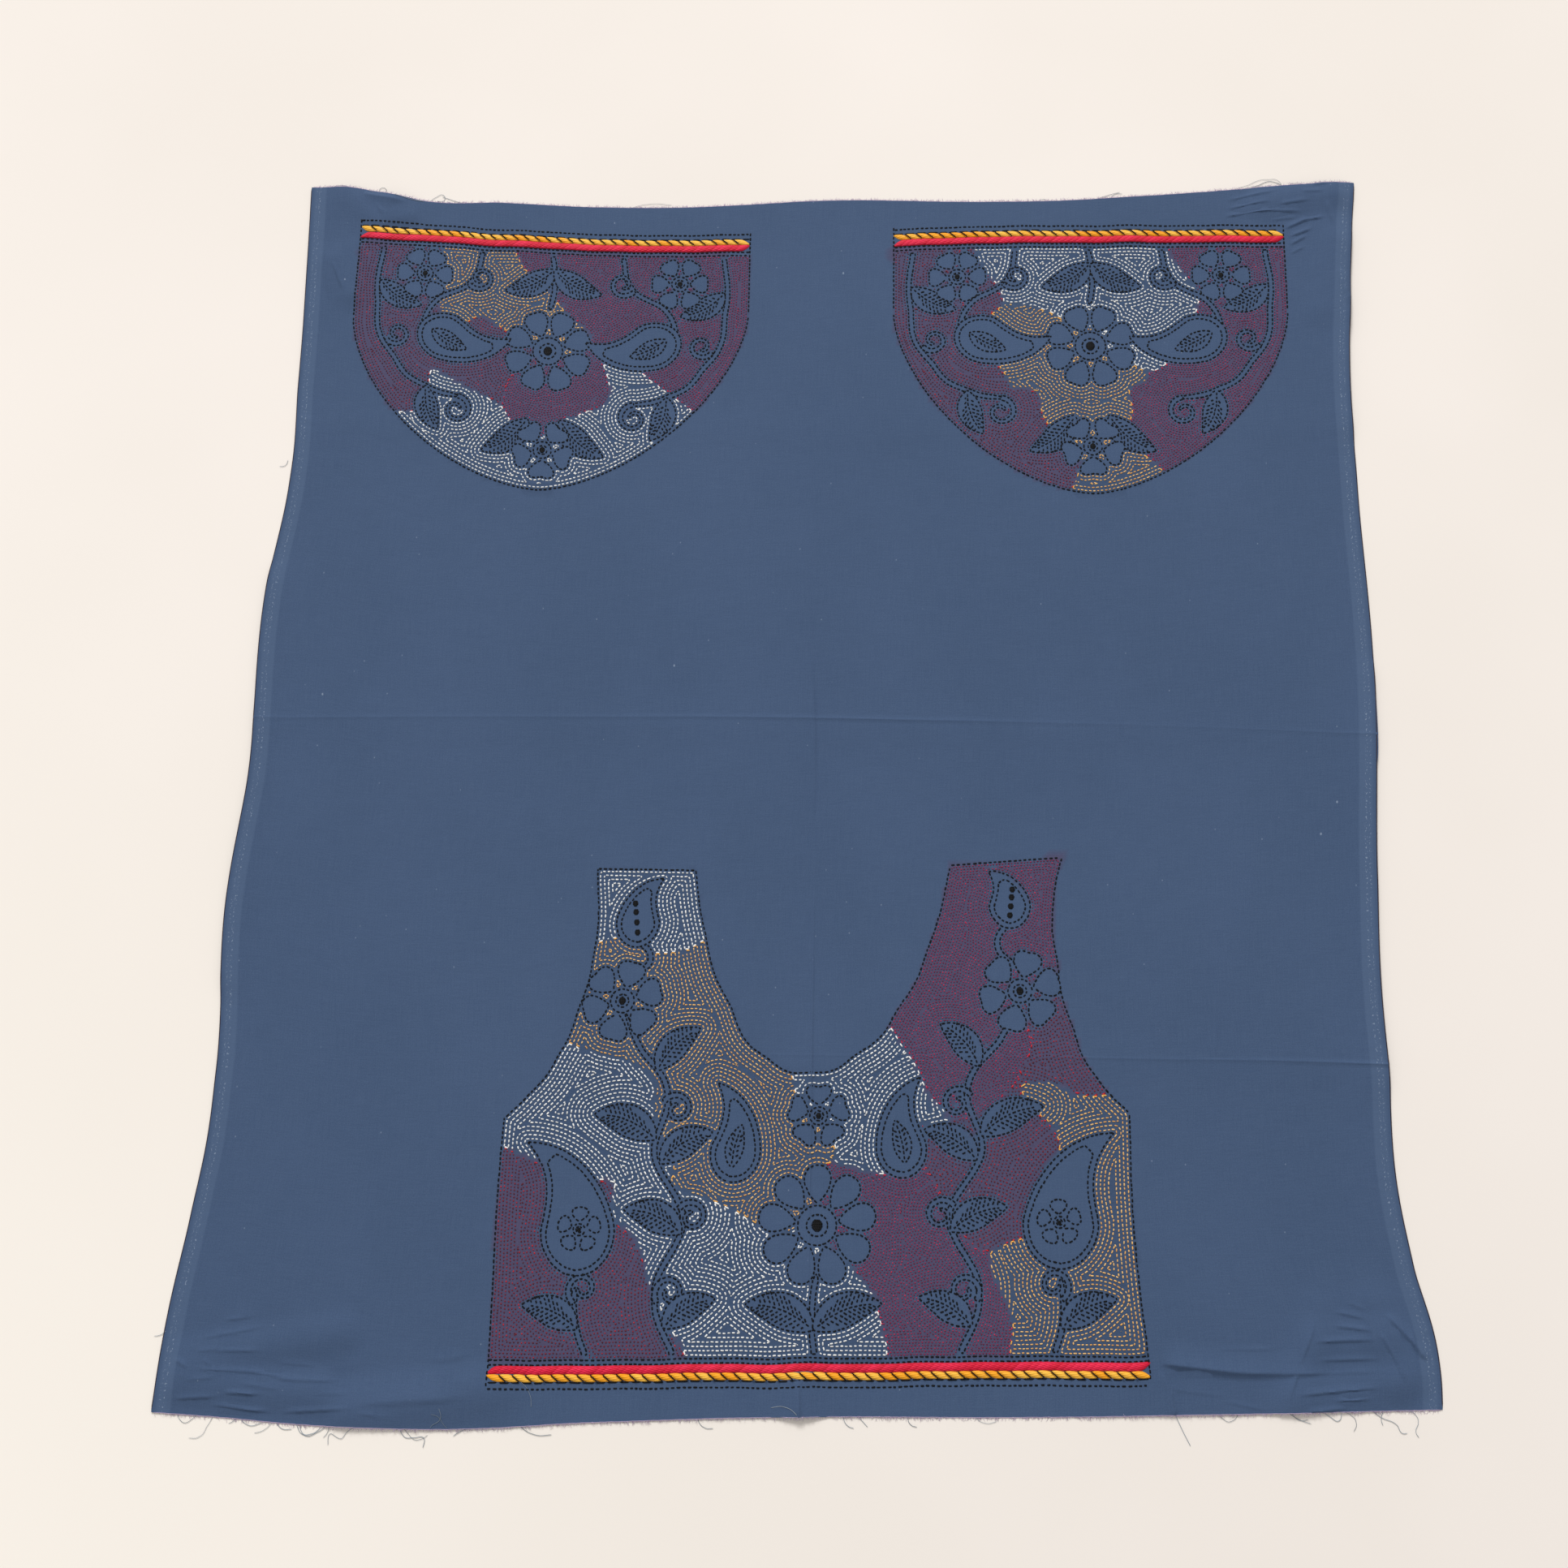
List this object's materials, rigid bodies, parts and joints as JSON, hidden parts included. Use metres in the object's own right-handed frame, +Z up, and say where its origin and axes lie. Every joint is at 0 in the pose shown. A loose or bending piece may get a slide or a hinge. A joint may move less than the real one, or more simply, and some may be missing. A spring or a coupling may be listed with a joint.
{
  "type": "embroidered blouse piece",
  "caption": "Flat cut length of plain cotton, embroidered with the shapes of a blouse front and two sleeves, to be cut out and sewn.",
  "frame": {"origin": "middle of the cloth's outline, on the surface that it lies on", "axes": "+X across the loom from the left selvedge to the right one, +Y along the cut length from the blouse front's hem to the sleeves' hems, +Z up, out of the embroidered face"},
  "size_m": [0.9474, 1.0372, 0.0086],
  "materials": {
    "cloth": "matte plain-weave cotton"
  },
  "bodies": {
    "root": {"cloth": "cloth"}
  },
  "joints": []
}
